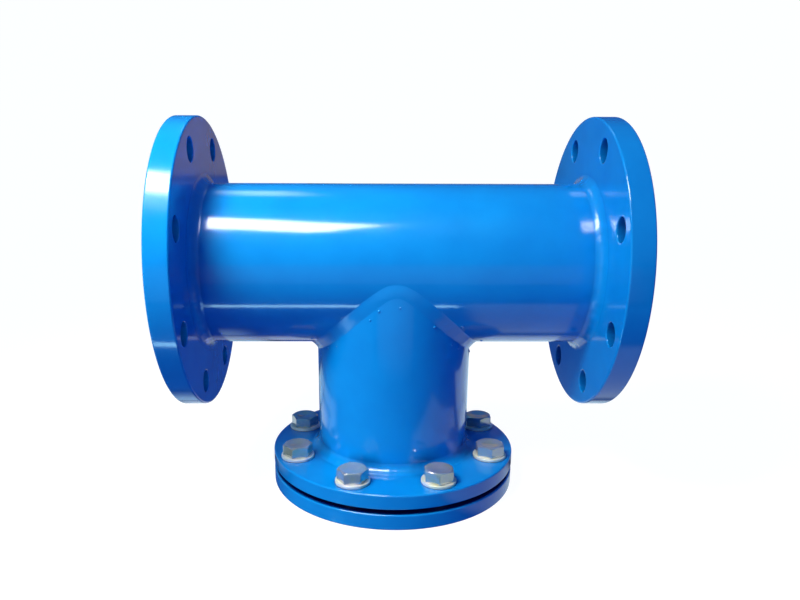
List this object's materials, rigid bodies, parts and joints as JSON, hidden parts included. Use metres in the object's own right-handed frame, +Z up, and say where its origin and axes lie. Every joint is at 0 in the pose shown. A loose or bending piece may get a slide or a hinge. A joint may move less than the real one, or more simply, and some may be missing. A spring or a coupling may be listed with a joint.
{
  "type": "tee strainer",
  "caption": "Welded steel tee strainer: flanged horizontal run, downward branch with a bolted blind cover, and a perforated basket with a side window inside.",
  "frame": {"origin": "centre of the cover's underside, on which the strainer stands", "axes": "+X along the run from inlet to outlet, +Z up from the cover to the run, +Y to the back, away from the side that the picture shows"},
  "size_m": [0.425, 0.285, 0.3735],
  "materials": {
    "blue_enamel": "glossy bright blue enamel",
    "zinc_plate": "bright zinc plate",
    "gasket_sheet": "matt black sheet",
    "stainless": "satin stainless steel"
  },
  "bodies": {
    "root": {"run_pipe": "blue_enamel", "branch_pipe": "blue_enamel", "saddle_weld": "blue_enamel", "inlet_flange": "blue_enamel", "outlet_flange": "blue_enamel", "inlet_weld": "blue_enamel", "outlet_weld": "blue_enamel", "inlet_inner_weld": "blue_enamel", "outlet_inner_weld": "blue_enamel", "neck_flange": "blue_enamel", "neck_weld": "blue_enamel", "neck_inner_weld": "blue_enamel", "cover": "blue_enamel", "cover_gasket": "gasket_sheet", "cover_bolts": "zinc_plate", "cover_washers": "zinc_plate", "basket_screen": "stainless", "basket_lining": "stainless", "basket_rim": "stainless", "basket_base_ring": "stainless", "basket_floor": "stainless", "basket_handle": "stainless"}
  },
  "joints": []
}
